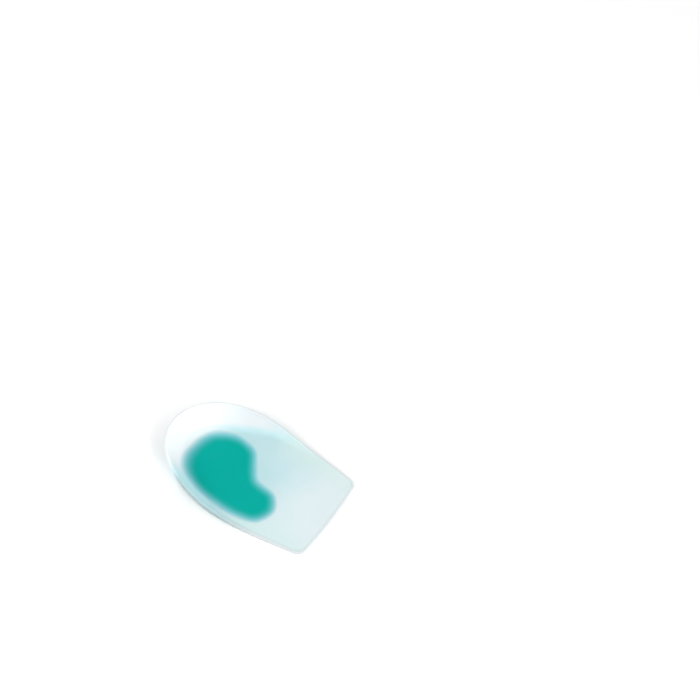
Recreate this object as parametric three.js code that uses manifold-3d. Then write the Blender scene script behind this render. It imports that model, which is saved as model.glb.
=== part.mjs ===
// Heel cup of clear silicone gel, with a softer kidney-shaped insert seated in a pocket of its sole.
//
// Millimetres. +X runs from the heel to the front edge, +Y to the far side and +Z up. The origin is under
// the middle of the bounding box, on the surface that the flat sole rests on.

import * as THREE from 'three';
import { mergeVertices } from 'three/addons/utils/BufferGeometryUtils.js';
import Module from 'manifold-3d';

const wasm = await Module();
wasm.setup();

// Plan of the cup
const LENGTH = 100; // heel tip to the middle of the front edge
const WIDTH = 67; // across the widest station
const HEEL_LENGTH = 46; // heel tip to the widest station
const FAR_FRONT = 28; // half width at the front edge on the far side
const NEAR_FRONT = 26.5; // half width at the front edge on the near side
const SIDE_FULLNESS = 0.23; // share of the fore part along which the sides stay full
const CORNER = 5; // reach of each rounded front corner
const FRONT_BOW = 1; // middle of the front edge ahead of its corners

// Gel under the foot
const SEAT = 5.5; // thickness under the heel
const FRONT_EDGE = 1.3; // thickness at the front edge
const TAPER_POWER = 1.5; // the thinning starts gently and steepens forward

// Wall round the heel
const WALL_RISE = 11.5; // rim above the seat at the heel tip
const WALL_RUN = 75; // heel tip to where the wall has died out
const WALL_FLARE = 0.6; // lean of the outside, outward for each unit of height
const WALL_ROUNDING = 1.25; // power of the outside's curve: 1 is part of an ellipse, more is straighter
const WALL_SWEEP = 2.2; // power of the hollow's curve from the rim down to the seat
const LIP = 2; // thickness of the rounded rim
const FOOT_LEAN = 0.95; // reach of the wall's foot for each unit of rise
const FOOT_REACH = 3; // reach of the foot where the wall has died out

// Insert and its pocket
const COVER = 1.7; // gel left between the pocket and the seat
const CLEARANCE = 0.3; // round the insert and over it
const INSERT_ROUND = 0.8; // radius of the insert's rims
const LARGEST_ROUND = 0.4; // most of the insert's thickness that one rim may take

// Outline of the insert, as shares of the sole: along from its heel end to the front edge, and across
// from the middle line to the sole's edge at the widest station, far side positive.
const INSERT_OUTLINE = [
  { at: 'heel end', along: 0.06, across: -0.12 },
  { at: 'heel end, near', along: 0.1, across: -0.5 },
  { at: 'near side, heel', along: 0.22, across: -0.76 },
  { at: 'near side, middle', along: 0.37, across: -0.86 },
  { at: 'near side, front', along: 0.52, across: -0.88 },
  { at: 'tail, near', along: 0.65, across: -0.75 },
  { at: 'tail end', along: 0.69, across: -0.42 },
  { at: 'tail, far', along: 0.64, across: -0.14 },
  { at: 'waist, tail', along: 0.5, across: -0.03 },
  { at: 'waist, lobe', along: 0.44, across: 0.2 },
  { at: 'lobe, front', along: 0.37, across: 0.5 },
  { at: 'lobe, far', along: 0.23, across: 0.6 },
  { at: 'lobe, heel', along: 0.1, across: 0.38 },
];

// Steps of the mesh: first round each half of the plan, then along a section, then on the insert
const FRONT_STEPS = 6;
const CORNER_STEPS = 5;
const SIDE_STEPS = 14;
const HEEL_STEPS = 19;
const OUTSIDE_STEPS = 6;
const LIP_STEPS = 3;
const HOLLOW_STEPS = 8;
const FLOOR_STEPS = 4;
const INSERT_STEPS = 72;
const ROUND_STEPS = 3;

const HEEL_X = -LENGTH / 2;
const FRONT_X = LENGTH / 2;
const WIDEST_X = HEEL_X + HEEL_LENGTH;
const LIP_RADIUS = LIP / 2;
const QUARTER = Math.PI / 2;

// The sections run towards a spine on the middle line, which starts at the widest station and covers a share
// of the fore part. The middle point that they meet in stands at a share of the spine.
const SPINE_SHARE = 0.48;
const MEETING_SHARE = 0.3;
const SPINE_END = THREE.MathUtils.lerp(WIDEST_X, FRONT_X, SPINE_SHARE);
const MIDDLE_X = THREE.MathUtils.lerp(WIDEST_X, SPINE_END, MEETING_SHARE);

// Thickness of the gel at station x
function floorHeight(x) {
  const share = THREE.MathUtils.clamp((x - WIDEST_X) / (FRONT_X - WIDEST_X), 0, 1);
  return THREE.MathUtils.lerp(SEAT, FRONT_EDGE, share ** TAPER_POWER);
}

// Rim above the floor at station x: a half wave from the heel tip to the end of the wall's run
function rimRise(x) {
  const share = THREE.MathUtils.clamp((x - HEEL_X) / WALL_RUN, 0, 1);
  return WALL_RISE * (0.5 + 0.5 * Math.cos(Math.PI * share));
}

// Half of the rim's plan, from the middle of the front edge to the heel tip. Side is 1 far, -1 near.
function halfPlan(side, frontHalf) {
  const corner = new THREE.Vector2(FRONT_X - FRONT_BOW, side * frontHalf);
  const full = new THREE.Vector2(WIDEST_X + SIDE_FULLNESS * (FRONT_X - WIDEST_X), (side * WIDTH) / 2);
  const widest = new THREE.Vector2(WIDEST_X, (side * WIDTH) / 2);
  const frontEnd = corner.clone().add(new THREE.Vector2(0, -side * CORNER));
  const sideStart = corner.clone().addScaledVector(full.clone().sub(corner).normalize(), CORNER);
  const front = new THREE.Vector2(FRONT_X, 0);
  const bow = new THREE.Vector2(FRONT_X, frontEnd.y / 2);
  const heel = [WIDEST_X, 0, HEEL_LENGTH, WIDTH / 2, side * QUARTER, side * Math.PI, side < 0];
  const stretches = [
    { curve: new THREE.QuadraticBezierCurve(front, bow, frontEnd), steps: FRONT_STEPS },
    { curve: new THREE.QuadraticBezierCurve(frontEnd, corner, sideStart), steps: CORNER_STEPS },
    { curve: new THREE.QuadraticBezierCurve(sideStart, full, widest), steps: SIDE_STEPS },
    { curve: new THREE.EllipseCurve(...heel), steps: HEEL_STEPS },
  ];
  const points = stretches.flatMap(({ curve, steps }) => curve.getPoints(steps).slice(0, -1));
  return [...points, new THREE.Vector2(HEEL_X, 0)];
}

// The rim's whole plan, counterclockwise from the middle of the front edge
function rimPlan() {
  const far = halfPlan(1, FAR_FRONT);
  const near = halfPlan(-1, NEAR_FRONT);
  return [...far, ...near.reverse().slice(1, -1)];
}

// One section of the cup, at point p of the rim's plan: points from the sole's edge up the outside, over
// the lip, down the hollow and along the floor, without the two middle points that all sections share.
function section(p) {
  const spine = new THREE.Vector2(THREE.MathUtils.clamp(p.x, WIDEST_X, SPINE_END), 0);
  const inward = spine.sub(p).normalize();
  const rise = rimRise(p.x);
  const top = floorHeight(p.x + inward.x * LIP_RADIUS) + rise;
  const cap = Math.min(LIP_RADIUS, top / 2);
  const drop = Math.min(LIP_RADIUS, rise / 2);
  const inset = WALL_FLARE * (top - cap);
  const foot = LIP + FOOT_LEAN * rise + FOOT_REACH;
  const points = [];

  const at = (reach, height) => {
    const xy = p.clone().addScaledVector(inward, reach);
    points.push(new THREE.Vector3(xy.x, xy.y, height(xy.x)));
  };

  for (let k = 0; k < OUTSIDE_STEPS; k++) {
    const angle = (QUARTER * k) / OUTSIDE_STEPS;
    at(
      inset * (1 - Math.sin(angle) ** WALL_ROUNDING),
      () => (top - cap) * (1 - Math.cos(angle) ** WALL_ROUNDING),
    );
  }
  for (let k = 0; k < LIP_STEPS; k++) {
    const angle = (QUARTER * k) / LIP_STEPS;
    at(LIP_RADIUS * (1 - Math.cos(angle)), () => top - cap + cap * Math.sin(angle));
  }
  for (let k = 0; k < LIP_STEPS; k++) {
    const angle = (QUARTER * k) / LIP_STEPS;
    at(LIP_RADIUS * (1 + Math.sin(angle)), (x) => floorHeight(x) + rise - drop * (1 - Math.cos(angle)));
  }
  for (let k = 0; k <= HOLLOW_STEPS; k++) {
    const share = k / HOLLOW_STEPS;
    const height = (rise - drop) * (1 - share) ** WALL_SWEEP;
    at(THREE.MathUtils.lerp(LIP, foot, share), (x) => floorHeight(x) + height);
  }
  const last = points.at(-1).clone();
  for (let k = 1; k < FLOOR_STEPS; k++) {
    const onFloor = last.clone().lerp(new THREE.Vector3(MIDDLE_X, 0, 0), k / FLOOR_STEPS);
    onFloor.z = floorHeight(onFloor.x);
    points.push(onFloor);
  }
  return points;
}

// Closes the sections into one skin, with a middle point under the sole and one on the floor
function loftedCup() {
  const sections = rimPlan().map(section);
  const perSection = sections[0].length;
  const points = sections.flat();
  const under = points.push(new THREE.Vector3(MIDDLE_X, 0, 0)) - 1;
  const over = points.push(new THREE.Vector3(MIDDLE_X, 0, floorHeight(MIDDLE_X))) - 1;
  const index = [];
  sections.forEach((_, i) => {
    const here = i * perSection;
    const next = ((i + 1) % sections.length) * perSection;
    index.push(under, next, here);
    for (let k = 0; k < perSection - 1; k++) {
      index.push(here + k, next + k, next + k + 1);
      index.push(here + k, next + k + 1, here + k + 1);
    }
    index.push(here + perSection - 1, next + perSection - 1, over);
  });
  const geometry = new THREE.BufferGeometry().setFromPoints(points);
  geometry.setIndex(index);
  return geometry;
}

// Kidney outline from its table, fitted to the flat sole
function insertPlan() {
  const soleInset = (x) => WALL_FLARE * (floorHeight(x) + rimRise(x) - LIP_RADIUS);
  const soleHeel = HEEL_X + soleInset(HEEL_X);
  const soleHalf = WIDTH / 2 - soleInset(WIDEST_X);
  const knots = INSERT_OUTLINE.map(({ along, across }) => {
    const x = THREE.MathUtils.lerp(soleHeel, FRONT_X, along);
    return new THREE.Vector3(x, across * soleHalf, 0);
  });
  const curve = new THREE.CatmullRomCurve3(knots, true, 'centripetal');
  const points = curve.getPoints(INSERT_STEPS).slice(0, -1);
  return new THREE.Shape(points.map((p) => new THREE.Vector2(p.x, p.y)));
}

// The insert's solid between two heights, grown sideways by a margin, with rounded rims
function kidney(bottom, top, margin) {
  const round = Math.min(INSERT_ROUND, LARGEST_ROUND * (top - bottom));
  const geometry = new THREE.ExtrudeGeometry(insertPlan(), {
    depth: top - bottom - 2 * round,
    bevelThickness: round,
    bevelSize: round,
    bevelOffset: margin - round,
    bevelSegments: ROUND_STEPS,
  });
  return geometry.translate(0, 0, bottom + round);
}

function toSolid(geometry) {
  const bare = geometry.clone();
  bare.deleteAttribute('normal');
  bare.deleteAttribute('uv');
  const merged = mergeVertices(bare);
  return new wasm.Manifold(
    new wasm.Mesh({
      numProp: 3,
      vertProperties: new Float32Array(merged.attributes.position.array),
      triVerts: new Uint32Array(merged.index.array),
    }),
  );
}

function toGeometry(solid) {
  const mesh = solid.getMesh();
  const geometry = new THREE.BufferGeometry();
  geometry.setAttribute('position', new THREE.BufferAttribute(mesh.vertProperties, 3));
  geometry.setIndex(new THREE.BufferAttribute(mesh.triVerts, 1));
  geometry.computeVertexNormals();
  return geometry;
}

function named(name, geometry, material) {
  const mesh = new THREE.Mesh(geometry, material);
  mesh.name = name;
  return mesh;
}

const shellGel = new THREE.MeshStandardMaterial({ color: '#d6ebee', roughness: 0.35, metalness: 0 });
const insertGel = new THREE.MeshStandardMaterial({ color: '#00aca2', roughness: 0.45, metalness: 0 });

const pocketDepth = SEAT - COVER;
const pocket = kidney(-SEAT, pocketDepth, CLEARANCE);
const shell = toSolid(loftedCup()).subtract(toSolid(pocket));

const heelCup = new THREE.Group();
heelCup.add(named('cup_shell', toGeometry(shell), shellGel));
heelCup.add(named('soft_insert', kidney(0, pocketDepth - CLEARANCE, 0), insertGel));

export default heelCup;
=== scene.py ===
"""Gel heel cup with a softer teal insert, dressed around its packed solids.

It is laid out as an add-on and is run as a script. Lengths are in metres. +X runs from the heel tip to the
front edge, +Y to the far side and +Z up from the sole.
"""

import math

import bmesh
import bpy
from bpy.props import FloatProperty, FloatVectorProperty, IntProperty, PointerProperty
from mathutils import Matrix, Vector


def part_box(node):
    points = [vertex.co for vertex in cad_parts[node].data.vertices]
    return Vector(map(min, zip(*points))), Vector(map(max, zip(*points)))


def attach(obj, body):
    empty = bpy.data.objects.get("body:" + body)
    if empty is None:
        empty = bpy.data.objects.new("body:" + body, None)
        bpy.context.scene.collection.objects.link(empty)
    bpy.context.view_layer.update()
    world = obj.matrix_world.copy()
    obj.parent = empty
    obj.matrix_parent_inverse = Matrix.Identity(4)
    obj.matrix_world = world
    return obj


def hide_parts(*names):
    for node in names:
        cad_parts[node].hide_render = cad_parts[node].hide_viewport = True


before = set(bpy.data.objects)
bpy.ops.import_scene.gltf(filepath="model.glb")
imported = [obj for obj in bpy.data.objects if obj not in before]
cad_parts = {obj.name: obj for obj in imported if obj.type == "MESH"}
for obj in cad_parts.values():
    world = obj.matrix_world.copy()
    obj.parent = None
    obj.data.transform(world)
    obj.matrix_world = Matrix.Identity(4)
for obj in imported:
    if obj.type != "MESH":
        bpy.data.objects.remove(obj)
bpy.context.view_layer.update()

bl_info = {
    "name": "Gel Heel Cup",
    "version": (1, 0, 0),
    "blender": (4, 5, 0),
    "location": "3D View > Sidebar > Heel Cup",
    "description": "Makes a milky clear gel heel cup with a soft kidney-shaped insert",
    "category": "Add Mesh",
}

SHELL_LOW, SHELL_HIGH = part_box("cup_shell")
INSERT_LOW, INSERT_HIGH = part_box("soft_insert")
MM = 0.001
QUARTER = math.pi / 2
SHARP_FROM = math.radians(60)  # faces that meet more steeply keep a sharp edge
RIM_STEPS = 6  # faces round each rounded rim of the insert and its pocket

# Outline of the insert as shares of the sole: along from its heel end to the front edge, and across from
# the middle line to the sole's edge at the widest station, far side positive.
INSERT_OUTLINE = (
    {"at": "heel end", "along": 0.06, "across": -0.12},
    {"at": "heel end, near", "along": 0.1, "across": -0.5},
    {"at": "near side, heel", "along": 0.22, "across": -0.76},
    {"at": "near side, middle", "along": 0.37, "across": -0.86},
    {"at": "near side, front", "along": 0.52, "across": -0.88},
    {"at": "tail, near", "along": 0.65, "across": -0.75},
    {"at": "tail end", "along": 0.69, "across": -0.42},
    {"at": "tail, far", "along": 0.64, "across": -0.14},
    {"at": "waist, tail", "along": 0.5, "across": -0.03},
    {"at": "waist, lobe", "along": 0.44, "across": 0.2},
    {"at": "lobe, front", "along": 0.37, "across": 0.5},
    {"at": "lobe, far", "along": 0.23, "across": 0.6},
    {"at": "lobe, heel", "along": 0.1, "across": 0.38},
)


def length(name, description, default):
    return FloatProperty(
        name=name, description=description, default=default, min=0.0, unit="LENGTH", precision=5
    )


def share(name, description, default):
    return FloatProperty(name=name, description=description, default=default, min=0.0, subtype="FACTOR")


def number(name, description, default):
    return FloatProperty(name=name, description=description, default=default)


def turn(name, description, degrees):
    return FloatProperty(
        name=name, description=description, default=math.radians(degrees), subtype="ANGLE"
    )


def position(name, description, default):
    return FloatVectorProperty(
        name=name, description=description, default=default, size=3, unit="LENGTH"
    )


def colour(name, description, default):
    return FloatVectorProperty(
        name=name, description=description, default=default, size=3, min=0.0, max=1.0, subtype="COLOR"
    )


class CupSizes(bpy.types.PropertyGroup):
    """Sizes of the gel cup"""

    length: length("Length", "Heel tip to the middle of the front edge", SHELL_HIGH.x - SHELL_LOW.x)
    width: length("Width", "Across the widest station", SHELL_HIGH.y - SHELL_LOW.y)
    heel_length: length("Heel Length", "Heel tip to the widest station", 46 * MM)
    far_front: length("Far Front", "Half width at the front edge, far side", 28 * MM)
    near_front: length("Near Front", "Half width at the front edge, near side", 26.5 * MM)
    side_fullness: share("Side Fullness", "Share of the fore part along which the sides stay full", 0.23)
    corner: length("Corner", "Reach of each rounded front corner", 5 * MM)
    front_bow: length("Front Bow", "Middle of the front edge ahead of its corners", 1 * MM)
    seat: length("Seat", "Gel under the heel", 5.5 * MM)
    front_edge: length("Front Edge", "Gel at the front edge", 1.3 * MM)
    taper_power: number("Taper Power", "How late the gel thins", 1.5)
    wall_rise: length("Wall Rise", "Rim above the seat at the heel tip", 11.5 * MM)
    wall_run: length("Wall Run", "Heel tip to where the wall has died out", 75 * MM)
    wall_flare: share("Wall Flare", "Lean of the outside for each unit of height", 0.6)
    wall_rounding: number("Wall Rounding", "Power of the outside's curve", 1.25)
    wall_sweep: number("Wall Sweep", "Power of the hollow's curve", 2.2)
    lip: length("Lip", "Thickness of the rounded rim", 2 * MM)
    foot_lean: share("Foot Lean", "Reach of the wall's foot for each unit of rise", 0.95)
    foot_reach: length("Foot Reach", "Reach of the foot where the wall has died out", 3 * MM)
    steps_around: IntProperty(
        name="Steps Around", description="Sections round the plan", default=300, min=24
    )


class InsertSizes(bpy.types.PropertyGroup):
    """Sizes of the soft insert and its pocket"""

    clearance: length("Clearance", "Round the insert and over it", 0.3 * MM)
    rounding: length("Rounding", "Radius of the insert's rims", 0.8 * MM)
    steps_between: IntProperty(
        name="Steps Between", description="Points from knot to knot", default=18, min=2
    )


class GelFinish(bpy.types.PropertyGroup):
    """Colours and finish of the two gels"""

    # Wall and Veil are what the high wall whitens to, partly the thicker gel and partly painted light
    wall: colour("Wall", "Gel high on the wall at the heel tip", (0.87, 0.9, 0.92))
    veil: colour("Veil", "Gel high on the far wall", (0.72, 0.75, 0.77))
    seat: colour("Seat", "Gel beside the insert", (0.505, 0.75, 0.785))
    front: colour("Front", "Thin gel at the front edge", (0.74, 0.85, 0.88))
    side: colour("Side", "Gel along the thin sides", (0.66, 0.82, 0.79))
    # Near is painted shade: the near wall's inner face, turned from the light, is kept aqua instead of white
    near: colour("Near", "Gel low on the near wall", (0.54, 0.83, 0.89))
    halo: colour("Halo", "Gel within the insert's soft edge", (0.52, 0.86, 0.97))
    outside: colour("Outside", "Outside of the wall, strongest low down", (0.6, 0.84, 0.88))
    # Flank and Thin Edge are painted shade: the dark line along the cup's outer edge, darkest on the near
    # side
    flank: colour("Flank", "Outside of the near wall, where the gel is seen edge on", (0.33, 0.43, 0.43))
    thin_edge_shade: colour("Thin Edge", "Outside of the thin front and sides", (0.65, 0.68, 0.7))
    insert: colour("Insert", "Soft gel of the insert", (0.0, 0.41, 0.355))
    insert_edge: colour("Insert Edge", "Edge of the insert's spot, where it fades out", (0.0, 0.41, 0.45))
    blur: length("Blur", "Width of the soft edge of the spot drawn for the insert", 7.0 * MM)
    draw_in: length("Draw In", "How far inside the insert's outline the soft edge's middle lies", 1.6 * MM)
    shift: position(
        "Shift", "How far the drawn spot lies aside of the insert, to suit the camera",
        (0.2 * MM, -1.5 * MM, 0.0),
    )


class StageSetup(bpy.types.PropertyGroup):
    """Floor, lights and camera"""

    floor: colour("Floor", "Pale floor", (0.97, 0.97, 0.97))
    azimuth: turn("Azimuth", "Camera round the cup", 33.8)
    elevation: turn("Elevation", "Camera above the floor", 54)
    roll: turn("Roll", "Turn of the camera about its own axis", 4.23)
    distance: length("Distance", "Camera to the cup", 880.8 * MM)
    look_at: position(
        "Look At", "Point of the floor in the middle of the picture", (-3.7 * MM, 106.4 * MM, 0.0)
    )
    lens: number("Lens", "Focal length in millimetres", 85.0)


class Field:
    """A number in a node tree: sums and products of fields become its Math nodes."""

    def __init__(self, tree, socket):
        self.tree = tree
        self.socket = socket

    def math(self, operation, *others):
        node = self.tree.nodes.new("ShaderNodeMath")
        node.operation = operation
        for slot, value in zip(node.inputs, (self, *others)):
            wire(self.tree, value, slot)
        return Field(self.tree, node.outputs[0])

    def __add__(self, other):
        return self.math("ADD", other)

    def __sub__(self, other):
        return self.math("SUBTRACT", other)

    def __rsub__(self, other):
        return self.math("MULTIPLY", -1.0).math("ADD", other)

    def __mul__(self, other):
        return self.math("MULTIPLY", other)

    def __truediv__(self, other):
        return self.math("DIVIDE", other)

    def __pow__(self, other):
        return self.math("POWER", other)

    def clamped(self):
        return self.math("MAXIMUM", 0.0).math("MINIMUM", 1.0)


def wire(tree, value, slot):
    """Gives an input a number, a colour, a field or another node's output."""
    if isinstance(value, Field):
        value = value.socket
    if isinstance(value, bpy.types.NodeSocket):
        tree.links.new(value, slot)
    else:
        slot.default_value = value


def add(tree, kind, inputs=(), **settings):
    """A new node with its settings made and its inputs wired. Inputs are named or numbered."""
    node = tree.nodes.new(kind)
    for name, value in settings.items():
        setattr(node, name, value)
    for key, value in dict(inputs).items():
        wire(tree, value, node.inputs[key])
    return node


def linked(name, data):
    """A new object in the scene, at the origin."""
    item = bpy.data.objects.new(name, data)
    bpy.context.scene.collection.objects.link(item)
    return item


def smooth_shaded(mesh):
    """Smooth faces, with sharp edges where they meet steeply."""
    mesh.shade_smooth()
    mesh.set_sharp_from_angle(angle=SHARP_FROM)


def half_wave(t):
    return 0.5 + 0.5 * math.cos(math.pi * min(max(t, 0.0), 1.0))


def sole_inset(sizes, x):
    """How far the sole's edge lies inside the rim at station x."""
    heel = -sizes.length / 2
    fore = (x - heel - sizes.heel_length) / (sizes.length - sizes.heel_length)
    gel = sizes.seat + (sizes.front_edge - sizes.seat) * max(fore, 0.0) ** sizes.taper_power
    rise = sizes.wall_rise * half_wave((x - heel) / sizes.wall_run)
    return sizes.wall_flare * (gel + rise - sizes.lip / 2)


def insert_knots(sizes):
    """The outline table's rows as points on the sole."""
    heel = -sizes.length / 2
    front = sizes.length / 2
    sole_heel = heel + sole_inset(sizes, heel)
    sole_half = sizes.width / 2 - sole_inset(sizes, heel + sizes.heel_length)
    return [
        Vector((sole_heel + row["along"] * (front - sole_heel), row["across"] * sole_half, 0.0))
        for row in INSERT_OUTLINE
    ]


def closed_spline(knots, steps):
    """Points of a closed centripetal Catmull-Rom curve through the knots."""
    points = []
    count = len(knots)
    for i in range(count):
        a, b, c, d = (knots[(i + k) % count] for k in (-1, 0, 1, 2))
        before, here, after = ((q - p).length ** 0.5 for p, q in ((a, b), (b, c), (c, d)))
        leave = ((b - a) / before - (c - a) / (before + here) + (c - b) / here) * here
        arrive = ((c - b) / here - (d - b) / (here + after) + (d - c) / after) * here
        for step in range(steps):
            t = step / steps
            points.append(
                b * (2 * t**3 - 3 * t**2 + 1) + leave * (t**3 - 2 * t**2 + t)
                + c * (3 * t**2 - 2 * t**3) + arrive * (t**3 - t**2)
            )
    return points


def grown(points, margin):
    """A closed level outline moved outward by a margin, or inward by a negative one."""
    count = len(points)
    moved = []
    for i, point in enumerate(points):
        along = points[(i + 1) % count] - points[i - 1]
        moved.append(point + Vector((along.y, -along.x, 0.0)).normalized() * margin)
    return moved


def rounded_slab(name, outline, low, high, rounding):
    """A closed mesh of a level outline between two heights, with rounded rims."""
    angles = [QUARTER * k / RIM_STEPS for k in range(RIM_STEPS + 1)]
    levels = [(rounding * (1 - math.sin(a)), low + rounding * (1 - math.cos(a))) for a in angles]
    levels += [(rounding * (1 - math.cos(a)), high - rounding * (1 - math.sin(a))) for a in angles]
    slab = bmesh.new()
    rings = []
    for inset, z in levels:
        rings.append([slab.verts.new((p.x, p.y, z)) for p in grown(outline, -inset)])
    for lower, upper in zip(rings, rings[1:]):
        for i in range(len(outline)):
            k = (i + 1) % len(outline)
            slab.faces.new((lower[i], lower[k], upper[k], upper[i]))
    slab.faces.new(reversed(rings[0]))
    slab.faces.new(rings[-1])
    bmesh.ops.recalc_face_normals(slab, faces=slab.faces)
    mesh = bpy.data.meshes.new(name)
    slab.to_mesh(mesh)
    slab.free()
    smooth_shaded(mesh)
    return linked(name, mesh)


def bezier_loop(name, stretches):
    """A closed curve from stretches of a start and two handles, each ending where the next one starts."""
    data = bpy.data.curves.new(name, "CURVE")
    data.dimensions = "3D"
    data.resolution_u = 48
    spline = data.splines.new("BEZIER")
    spline.bezier_points.add(len(stretches) - 1)
    spline.use_cyclic_u = True
    for i, (start, leave, _) in enumerate(stretches):
        knot = spline.bezier_points[i]
        knot.handle_left_type = knot.handle_right_type = "FREE"
        knot.co = (*start, 0.0)
        knot.handle_right = (*leave, 0.0)
        knot.handle_left = (*stretches[i - 1][2], 0.0)
    return linked(name, data)


def rim_stretches(sizes):
    """Half by half, the rim's plan as cubic stretches, counterclockwise from the middle of the front edge."""
    heel = -sizes.length / 2
    front = sizes.length / 2
    widest = heel + sizes.heel_length
    round_share = 4 / 3 * (math.sqrt(2) - 1)

    def quadratic(start, middle, end):
        return start, start.lerp(middle, 2 / 3), end.lerp(middle, 2 / 3), end

    def half(side, front_half):
        corner = Vector((front - sizes.front_bow, side * front_half))
        full = Vector((widest + sizes.side_fullness * (front - widest), side * sizes.width / 2))
        broad = Vector((widest, side * sizes.width / 2))
        tip = Vector((heel, 0.0))
        beside_tip = Vector((heel, broad.y))
        front_end = corner - Vector((0.0, side * sizes.corner))
        side_start = corner + (full - corner).normalized() * sizes.corner
        return (
            quadratic(Vector((front, 0.0)), Vector((front, front_end.y / 2)), front_end),
            quadratic(front_end, corner, side_start),
            quadratic(side_start, full, broad),
            (broad, broad.lerp(beside_tip, round_share), tip.lerp(beside_tip, round_share), tip),
        )

    far = half(1, sizes.far_front)
    near = [stretch[::-1] for stretch in reversed(half(-1, sizes.near_front))]
    return [stretch[:3] for stretch in (*far, *near)]


# Steps along a section of the gel cup, in the order that the section takes
OUTSIDE_STEPS = 20
LIP_STEPS = 8
HOLLOW_STEPS = 28
FLOOR_STEPS = 36

# The sections run towards a spine on the middle line. It covers a share of the fore part, and the point that
# the sections meet in stands at a share of it.
SPINE_SHARE = 0.48
MEETING_SHARE = 0.3

# Points of the loft nearer to each other than this are merged
MERGE_WITHIN = 1e-6

# Distance that each unit of depth below the seat adds, so that the spot drawn for the insert fades with depth
DEPTH_WEIGHT = 1.5

# Sizes that the loft's tree takes as named inputs
LOFT_INPUTS = (
    "length", "heel_length", "seat", "front_edge", "taper_power", "wall_rise", "wall_run", "wall_flare",
    "wall_rounding", "wall_sweep", "lip", "foot_lean", "foot_reach",
)


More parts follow.
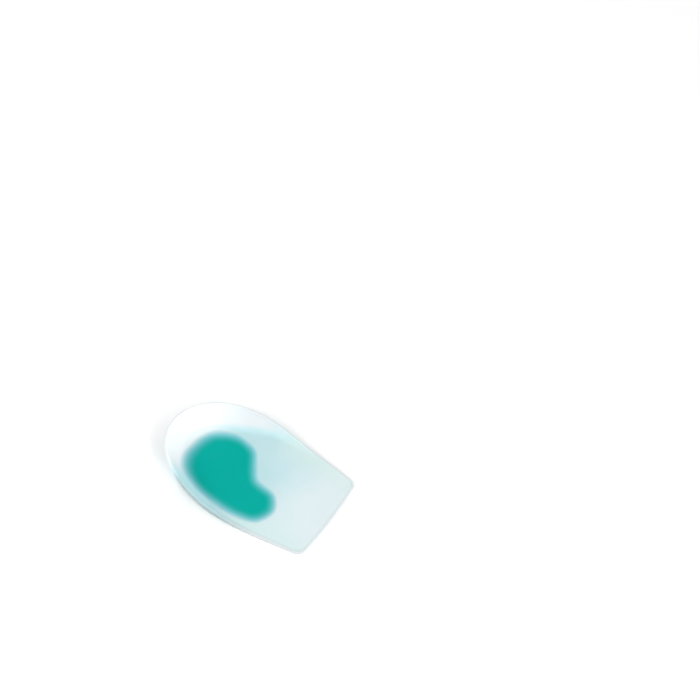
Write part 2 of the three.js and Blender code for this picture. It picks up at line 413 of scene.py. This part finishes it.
def loft_tree():
    """The node tree that lofts the gel cup over the rim's plan, which is the curve it is given."""
    tree = bpy.data.node_groups.new("gel_cup_loft", "GeometryNodeTree")
    face = tree.interface
    face.new_socket("Geometry", in_out="INPUT", socket_type="NodeSocketGeometry")
    for name in LOFT_INPUTS:
        face.new_socket(name, in_out="INPUT", socket_type="NodeSocketFloat")
    face.new_socket("steps_around", in_out="INPUT", socket_type="NodeSocketInt")
    face.new_socket("pocket", in_out="INPUT", socket_type="NodeSocketObject")
    face.new_socket("insert_plan", in_out="INPUT", socket_type="NodeSocketObject")
    face.new_socket("gel", in_out="INPUT", socket_type="NodeSocketMaterial")
    face.new_socket("Geometry", in_out="OUTPUT", socket_type="NodeSocketGeometry")
    given = add(tree, "NodeGroupInput").outputs
    size = {name: Field(tree, given[name]) for name in LOFT_INPUTS}

    heel = size["length"] * -0.5
    front = size["length"] * 0.5
    widest = heel + size["heel_length"]
    spine_end = widest + (front - widest) * SPINE_SHARE
    middle = widest + (spine_end - widest) * MEETING_SHARE
    lip_radius = size["lip"] * 0.5

    def floor_height(x):
        fore = ((x - widest) / (front - widest)).clamped()
        return size["seat"] + (size["front_edge"] - size["seat"]) * fore ** size["taper_power"]

    # A grid of sections round the plan by points along each section
    per_section = OUTSIDE_STEPS + 2 * LIP_STEPS + HOLLOW_STEPS + FLOOR_STEPS + 2
    around = Field(tree, given["steps_around"])
    grid = add(tree, "GeometryNodeMeshGrid", {"Vertices X": (around + 1).socket, "Vertices Y": per_section})
    index = Field(tree, add(tree, "GeometryNodeInputIndex").outputs[0])
    section = ((index + 0.5) / per_section).math("FLOOR")
    place = index - section * per_section

    def phase(start, steps):
        return ((place - start) / steps).clamped()

    outside = phase(1, OUTSIDE_STEPS) * QUARTER
    lip_out = phase(1 + OUTSIDE_STEPS, LIP_STEPS) * QUARTER
    crest = 1 + OUTSIDE_STEPS + LIP_STEPS
    lip_in = phase(crest, LIP_STEPS) * QUARTER
    hollow = phase(crest + LIP_STEPS, HOLLOW_STEPS)
    on_floor = phase(crest + LIP_STEPS + HOLLOW_STEPS, FLOOR_STEPS)
    to_middle = on_floor.math("MAXIMUM", 1.0 - phase(0, 1))

    # The rim's plan at this section, and the way in from it
    rim = add(
        tree, "GeometryNodeSampleCurve",
        {"Curves": given["Geometry"], "Factor": (section / around).clamped()},
        mode="FACTOR", use_all_curves=True,
    )
    plan = add(tree, "ShaderNodeSeparateXYZ", {"Vector": rim.outputs["Position"]})
    plan_x, plan_y = Field(tree, plan.outputs["X"]), Field(tree, plan.outputs["Y"])
    way_x = plan_x.math("MAXIMUM", widest).math("MINIMUM", spine_end) - plan_x
    way = (way_x * way_x + plan_y * plan_y).math("SQRT")
    in_x, in_y = way_x / way, plan_y * -1.0 / way

    # Heights of the section
    wave = ((plan_x - heel) / size["wall_run"]).clamped() * math.pi
    rise = size["wall_rise"] * (wave.math("COSINE") * 0.5 + 0.5)
    top = floor_height(plan_x + in_x * lip_radius) + rise
    cap = lip_radius.math("MINIMUM", top * 0.5)
    drop = lip_radius.math("MINIMUM", rise * 0.5)
    inset = size["wall_flare"] * (top - cap)
    foot = size["lip"] + size["foot_lean"] * rise + size["foot_reach"]

    reach = inset * (1.0 - outside.math("SINE") ** size["wall_rounding"])
    reach = reach + lip_radius * (1.0 - lip_out.math("COSINE")) + lip_radius * lip_in.math("SINE")
    reach = reach + (foot - size["lip"]) * hollow
    keep = 1.0 - to_middle
    x = (plan_x + in_x * reach) * keep + middle * to_middle
    y = (plan_y + in_y * reach) * keep
    outer_z = (top - cap) * (1.0 - outside.math("COSINE").math("MAXIMUM", 0.0) ** size["wall_rounding"])
    outer_z = outer_z + cap * lip_out.math("SINE")
    inner_z = (rise - drop * (1.0 - lip_in.math("COSINE"))) * (1.0 - hollow) ** size["wall_sweep"]
    inner_z = inner_z + floor_height(x)
    past_crest = place.math("GREATER_THAN", crest - 0.5)
    z = outer_z + (inner_z - outer_z) * past_crest

    point = add(tree, "ShaderNodeCombineXYZ", {"X": x, "Y": y, "Z": z})
    placed = add(
        tree, "GeometryNodeSetPosition",
        {"Geometry": grid.outputs["Mesh"], "Position": point.outputs[0]},
    )
    # One on the outside of the wall, falling to none across the rim
    flank = 1.0 - phase(1 + OUTSIDE_STEPS, 2 * LIP_STEPS)
    marked = add(
        tree, "GeometryNodeStoreNamedAttribute",
        {"Geometry": placed.outputs[0], "Name": "flank", "Value": flank},
        data_type="FLOAT", domain="POINT",
    )
    closed = add(
        tree, "GeometryNodeMergeByDistance", {"Geometry": marked.outputs[0], "Distance": MERGE_WITHIN}
    )

    # The pocket for the insert, cut up into the sole
    tool = add(tree, "GeometryNodeObjectInfo", {"Object": given["pocket"]}, transform_space="ORIGINAL")
    cut = add(tree, "GeometryNodeMeshBoolean", operation="DIFFERENCE", solver="EXACT")
    wire(tree, closed.outputs[0], cut.inputs["Mesh 1"])
    wire(tree, tool.outputs["Geometry"], cut.inputs["Mesh 2"])

    # How far each point lies from the insert's outline, below zero inside it, and how high it stands over the
    # seat as a share of the wall's rise
    outline = add(
        tree, "GeometryNodeObjectInfo", {"Object": given["insert_plan"]}, transform_space="ORIGINAL"
    )
    here = add(tree, "GeometryNodeInputPosition")
    spot = add(tree, "ShaderNodeSeparateXYZ", {"Vector": here.outputs[0]})
    spot_x, spot_z = Field(tree, spot.outputs["X"]), Field(tree, spot.outputs["Z"])
    level = add(tree, "ShaderNodeCombineXYZ", {"X": spot.outputs["X"], "Y": spot.outputs["Y"]})
    above = add(tree, "ShaderNodeCombineXYZ", {"X": spot.outputs["X"], "Y": spot.outputs["Y"], "Z": 1.0})
    near = add(
        tree, "GeometryNodeProximity", {0: outline.outputs["Geometry"], "Sample Position": level.outputs[0]},
        target_element="EDGES",
    )
    over = add(
        tree, "GeometryNodeRaycast",
        {0: outline.outputs["Geometry"], "Source Position": above.outputs[0], "Ray Length": 2.0},
    )
    inside = Field(tree, over.outputs["Is Hit"])
    below = (floor_height(spot_x) - spot_z).math("MAXIMUM", 0.0)
    edge = Field(tree, near.outputs["Distance"]) * (1.0 - inside * 2.0) + below * DEPTH_WEIGHT
    height = (spot_z - floor_height(spot_x)) / size["wall_rise"]
    stored = cut.outputs["Mesh"]
    for name, value in (("insert_edge", edge), ("wall_share", height)):
        stored = add(
            tree, "GeometryNodeStoreNamedAttribute", {"Geometry": stored, "Name": name, "Value": value},
            data_type="FLOAT", domain="POINT",
        ).outputs[0]

    real = add(tree, "GeometryNodeRealizeInstances", {"Geometry": stored})
    finished = add(tree, "GeometryNodeSetMaterial", {"Geometry": real.outputs[0], "Material": given["gel"]})
    add(tree, "NodeGroupOutput", {"Geometry": finished.outputs[0]})
    return tree


def lofted(plan, tree, values, name):
    """Runs the tree on the plan's curve and leaves only the plain mesh that it makes."""
    modifier = plan.modifiers.new("loft", "NODES")
    modifier.node_group = tree
    for item in tree.interface.items_tree:
        if item.in_out == "INPUT" and item.name in values:
            modifier[item.identifier] = values[item.name]
    graph = bpy.context.evaluated_depsgraph_get()
    mesh = bpy.data.meshes.new_from_object(plan.evaluated_get(graph))
    mesh.name = name
    for i in reversed(range(len(mesh.materials))):
        if not mesh.materials[i]:
            mesh.materials.pop(index=i)
    bpy.data.objects.remove(plan)
    return mesh


def blank_material(name):
    """A new material and its empty tree with an output node."""
    material = bpy.data.materials.new(name)
    material.use_nodes = True
    material.node_tree.nodes.clear()
    return material, material.node_tree


def mixed(tree, factor, first, second):
    """One colour going over to another."""
    node = add(tree, "ShaderNodeMix", {"Factor": factor}, data_type="RGBA")
    wire(tree, first, node.inputs[6])
    wire(tree, second, node.inputs[7])
    return node.outputs[2]


def ranged(tree, value, low, high, from_value=0.0, to_value=1.0, kind="SMOOTHSTEP"):
    """A value carried from one range to another and held at its ends."""
    node = add(
        tree, "ShaderNodeMapRange",
        {"Value": value, "From Min": low, "From Max": high, "To Min": from_value, "To Max": to_value},
        interpolation_type=kind,
    )
    return node.outputs["Result"]


def clouds(tree, scale, detail):
    """Soft noise over the piece's own coordinates."""
    place = add(tree, "ShaderNodeTexCoord")
    node = add(
        tree, "ShaderNodeTexNoise",
        {"Vector": place.outputs["Object"], "Scale": scale, "Detail": detail},
    )
    return node.outputs["Fac"]


def attribute(tree, name):
    return add(tree, "ShaderNodeAttribute", attribute_name=name).outputs["Fac"]


def clear_gel(finish):
    """Milky silicone gel, with its tones, painted light and shade on its walls and edges, and the insert's
    blurred spot drawn by place on its surface.
    """
    material, tree = blank_material("milky_clear_gel")
    place = add(tree, "ShaderNodeTexCoord")
    axes = add(tree, "ShaderNodeSeparateXYZ", {"Vector": place.outputs["Object"]})
    along, across = axes.outputs["X"], axes.outputs["Y"]
    wall, edge = attribute(tree, "wall_share"), attribute(tree, "insert_edge")

    # Body: aqua by the insert, paler to the front and a little greener along the sides
    body = mixed(tree, ranged(tree, along, 0.0, 42 * MM), (*finish.seat, 1), (*finish.front, 1))
    aside = ranged(tree, Field(tree, across).math("ABSOLUTE"), 12 * MM, 30 * MM, 0.0, 0.7)
    sideward = Field(tree, aside) * Field(tree, ranged(tree, along, -8 * MM, 12 * MM))
    body = mixed(tree, sideward, body, (*finish.side, 1))
    haze = ranged(tree, clouds(tree, 55.0, 3.0), 0.35, 0.75, 0.0, 0.2, "LINEAR")
    body = mixed(tree, haze, body, (*finish.wall, 1))

    # The wall whitens as it rises and towards the heel tip, partly from the thicker gel and partly as painted
    # light; along its near side it stays aqua, painted shade on the inner face turned from the light
    near = Field(tree, ranged(tree, across, -10 * MM, -25 * MM, 0.0, 0.9)) * Field(
        tree, ranged(tree, along, -38 * MM, -22 * MM)
    )
    heelward = Field(tree, ranged(tree, along, -20 * MM, -38 * MM, 0.0, 0.8))
    rising = Field(tree, ranged(tree, along, -14 * MM, 8 * MM, 1.0, 0.35))
    rising = Field(tree, ranged(tree, wall, 0.0, 0.2)) * rising
    white = rising.math("MAXIMUM", heelward) * (1.0 - near)
    high = mixed(tree, ranged(tree, along, -46 * MM, -14 * MM), (*finish.wall, 1), (*finish.veil, 1))
    body = mixed(tree, white, body, high)
    body = mixed(tree, near * Field(tree, ranged(tree, wall, -0.05, 0.2)), body, (*finish.near, 1))

    # The outside is aqua low down; it is painted grey along the thin edges and darkest along the near side,
    # painted shade for the dark line at the cup's outer edge
    outer = Field(tree, attribute(tree, "flank"))
    deep = Field(tree, ranged(tree, wall, -0.45, 0.7, 0.8, 0.25)) * Field(tree, ranged(tree, outer, 0.8, 1.0))
    body = mixed(tree, deep * (1.0 - near), body, (*finish.outside, 1))
    thin = outer * Field(tree, ranged(tree, along, -4 * MM, 16 * MM))
    body = mixed(tree, thin, body, (*finish.thin_edge_shade, 1))
    shade = near * Field(tree, ranged(tree, along, 2 * MM, 26 * MM, 1.0, 0.15))
    shade = shade * Field(tree, ranged(tree, along, -34 * MM, -26 * MM))
    body = mixed(tree, outer * shade, body, (*finish.flank, 1))

    # The insert's spot is drawn on the gel with a soft edge, softest at the heel end
    wobble = (Field(tree, clouds(tree, 160.0, 2.0)) - 0.5) * (0.8 * MM)
    width = Field(tree, ranged(tree, along, -16 * MM, -36 * MM, finish.blur, 1.4 * finish.blur))
    clear = ((Field(tree, edge) + wobble + finish.draw_in) / width + 0.5).clamped()
    body = mixed(tree, ranged(tree, clear, 1.0, 0.5), body, (*finish.halo, 1))
    fading = ranged(tree, clear, 0.2, 0.9, kind="LINEAR")
    teal = mixed(tree, fading, (*finish.insert, 1), (*finish.insert_edge, 1))
    seen = mixed(tree, 1.0 - clear ** 2.5, body, teal)

    grain = clouds(tree, 900.0, 3.0)
    bump = add(tree, "ShaderNodeBump", {"Strength": 0.12, "Distance": 0.2 * MM, "Height": grain})
    gel = add(
        tree, "ShaderNodeBsdfPrincipled",
        {
            "Base Color": seen,
            "Roughness": ranged(tree, clouds(tree, 120.0, 4.0), 0.3, 0.7, 0.3, 0.44, "LINEAR"),
            "IOR": 1.41,
            "Specular IOR Level": 0.08,
            "Subsurface Weight": 0.3,
            "Subsurface Radius": (1.0, 1.1, 1.2),
            "Subsurface Scale": 2.5 * MM,
            "Transmission Weight": 0.2,
            "Normal": bump.outputs[0],
        },
    )
    add(tree, "ShaderNodeOutputMaterial", {"Surface": gel.outputs[0]})
    return material


def teal_gel(finish):
    """Softer, opaque teal gel with faint clouds and a fine skin."""
    material, tree = blank_material("teal_soft_gel")
    deep = tuple(0.8 * part for part in finish.insert)
    tone = mixed(tree, ranged(tree, clouds(tree, 90.0, 3.0), 0.3, 0.7), (*finish.insert, 1), (*deep, 1))
    bump = add(
        tree, "ShaderNodeBump", {"Strength": 0.2, "Distance": 0.2 * MM, "Height": clouds(tree, 700.0, 3.0)}
    )
    gel = add(
        tree, "ShaderNodeBsdfPrincipled",
        {
            "Base Color": tone,
            "Roughness": ranged(tree, clouds(tree, 200.0, 3.0), 0.3, 0.7, 0.38, 0.55, "LINEAR"),
            "IOR": 1.41,
            "Specular IOR Level": 0.2,
            "Subsurface Weight": 0.15,
            "Subsurface Radius": (0.3, 1.0, 0.9),
            "Subsurface Scale": 1.5 * MM,
            "Normal": bump.outputs[0],
        },
    )
    add(tree, "ShaderNodeOutputMaterial", {"Surface": gel.outputs[0]})
    return material


class HEELCUP_OT_gel_cup(bpy.types.Operator):
    """Loft the gel cup over the rim's plan and cut the insert's pocket into its sole"""

    bl_idname = "heelcup.gel_cup"
    bl_label = "Make Gel Cup"

    def execute(self, context):
        sizes = context.scene.cup_sizes
        insert = context.scene.insert_sizes
        outline = closed_spline(insert_knots(sizes), insert.steps_between)
        pocket = rounded_slab(
            "pocket_tool", grown(outline, insert.clearance), -sizes.seat, INSERT_HIGH.z + insert.clearance,
            insert.rounding,
        )
        shift = Vector(context.scene.gel_finish.shift)
        level = bmesh.new()
        level.faces.new([level.verts.new(p + shift) for p in outline])
        patch = linked("insert_plan", bpy.data.meshes.new("insert_plan"))
        level.to_mesh(patch.data)
        level.free()
        values = {name: getattr(sizes, name) for name in (*LOFT_INPUTS, "steps_around")}
        values.update(pocket=pocket, insert_plan=patch, gel=clear_gel(context.scene.gel_finish))
        mesh = lofted(bezier_loop("rim_plan", rim_stretches(sizes)), loft_tree(), values, "gel_cup")
        for helper in (pocket, patch):
            bpy.data.objects.remove(helper)
        if not mesh.polygons:
            raise RuntimeError("the loft made no faces")
        smooth_shaded(mesh)
        cup = linked("gel_cup", mesh)
        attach(cup, "root")
        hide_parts("cup_shell")
        return {"FINISHED"}


class HEELCUP_OT_soft_insert(bpy.types.Operator):
    """Make the kidney-shaped insert of softer gel"""

    bl_idname = "heelcup.soft_insert"
    bl_label = "Make Soft Insert"

    def execute(self, context):
        insert = context.scene.insert_sizes
        outline = closed_spline(insert_knots(context.scene.cup_sizes), insert.steps_between)
        pad = rounded_slab("teal_insert", outline, INSERT_LOW.z, INSERT_HIGH.z, insert.rounding)
        pad.data.materials.append(teal_gel(context.scene.gel_finish))
        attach(pad, "root")
        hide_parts("soft_insert")
        return {"FINISHED"}


# The sky dims towards the first of these directions and brightens towards the second
DIM_WAY = (-0.33, 0.49, 0.81)
BRIGHT_WAY = (0.62, 0.45, 0.0)


def toward(tree, way):
    """How far each direction of the sky points along a way."""
    sky = add(tree, "ShaderNodeTexCoord")
    along = add(
        tree, "ShaderNodeVectorMath", {0: sky.outputs["Generated"], 1: way}, operation="DOT_PRODUCT"
    )
    return along.outputs["Value"]


class HEELCUP_OT_stage(bpy.types.Operator):
    """Lay the pale floor, hang the soft lights and set the camera"""

    bl_idname = "heelcup.stage"
    bl_label = "Set Stage"

    def execute(self, context):
        stage = context.scene.stage_setup
        self.lay_floor(stage)
        self.hang_lights(context)
        self.set_camera(context, stage)
        return {"FINISHED"}

    def lay_floor(self, stage):
        half = 3.0
        corners = [(-half, -half, 0), (half, -half, 0), (half, half, 0), (-half, half, 0)]
        mesh = bpy.data.meshes.new("floor")
        mesh.from_pydata(corners, [], [(0, 1, 2, 3)])
        floor = linked("floor", mesh)
        material, tree = blank_material("pale_floor")
        shade = tuple(0.97 * part for part in stage.floor)
        tone = mixed(tree, clouds(tree, 3.0, 2.0), (*stage.floor, 1), (*shade, 1))
        paint = add(tree, "ShaderNodeBsdfPrincipled", {"Base Color": tone, "Roughness": 0.7})
        add(tree, "ShaderNodeOutputMaterial", {"Surface": paint.outputs[0]})
        mesh.materials.append(material)

    def hang_lights(self, context):
        world = bpy.data.worlds.new("studio")
        world.use_nodes = True
        tree = world.node_tree
        sky = tree.nodes["Background"]
        sky.inputs["Color"].default_value = (1.0, 1.0, 1.0, 1.0)
        dimmed = Field(tree, ranged(tree, toward(tree, DIM_WAY), 0.5, 0.95, 1.19, 0.25))
        slanted = Field(tree, toward(tree, BRIGHT_WAY)) + 1.0
        wire(tree, dimmed * slanted, sky.inputs["Strength"])
        context.scene.world = world
        for name, place, size, power in (
            ("key", (1.4, -0.77, 1.2), 0.45, 7.5),
            ("fill", (-0.6, -0.83, 0.78), 0.8, 9.0),
        ):
            data = bpy.data.lights.new(name, "AREA")
            data.shape = "DISK"
            data.size = size
            data.energy = power
            light = linked(name, data)
            light.location = place
            light.rotation_euler = (-Vector(place)).to_track_quat("-Z", "Y").to_euler()

    def set_camera(self, context, stage):
        data = bpy.data.cameras.new("camera")
        data.lens = stage.lens
        data.sensor_width = 36.0
        camera = linked("camera", data)
        level = math.cos(stage.elevation)
        back = Vector(
            (math.sin(stage.azimuth) * level, -math.cos(stage.azimuth) * level, math.sin(stage.elevation))
        )
        orbit_centre = Vector((0.0, 0.0, 5 * MM))
        camera.location = orbit_centre + back * stage.distance
        look = (Vector(stage.look_at) - camera.location).to_track_quat("-Z", "Y").to_matrix()
        turned = look @ Matrix.Rotation(stage.roll, 3, "Z")
        camera.rotation_euler = turned.to_euler()
        context.scene.camera = camera
        context.scene.view_settings.view_transform = "Standard"


class HEELCUP_PT_panel(bpy.types.Panel):
    """Sizes, colours and the pieces' operators"""

    bl_idname = "HEELCUP_PT_panel"
    bl_label = "Gel Heel Cup"
    bl_space_type = "VIEW_3D"
    bl_region_type = "UI"
    bl_category = "Heel Cup"

    def draw(self, context):
        for group in GROUPS:
            box = self.layout.box()
            box.label(text=group.__doc__)
            values = getattr(context.scene, GROUPS[group])
            for name in group.__annotations__:
                box.prop(values, name)
        for operator in OPERATORS:
            self.layout.operator(operator.bl_idname)


GROUPS = {
    CupSizes: "cup_sizes",
    InsertSizes: "insert_sizes",
    GelFinish: "gel_finish",
    StageSetup: "stage_setup",
}
OPERATORS = (HEELCUP_OT_gel_cup, HEELCUP_OT_soft_insert, HEELCUP_OT_stage)
CLASSES = (*GROUPS, *OPERATORS, HEELCUP_PT_panel)


def register():
    for item in CLASSES:
        bpy.utils.register_class(item)
    for group, name in GROUPS.items():
        setattr(bpy.types.Scene, name, PointerProperty(type=group))


def unregister():
    for name in GROUPS.values():
        delattr(bpy.types.Scene, name)
    for item in reversed(CLASSES):
        bpy.utils.unregister_class(item)


def main():
    register()
    bpy.ops.heelcup.gel_cup()
    bpy.ops.heelcup.soft_insert()
    bpy.ops.heelcup.stage()


if __name__ == "__main__":
    main()
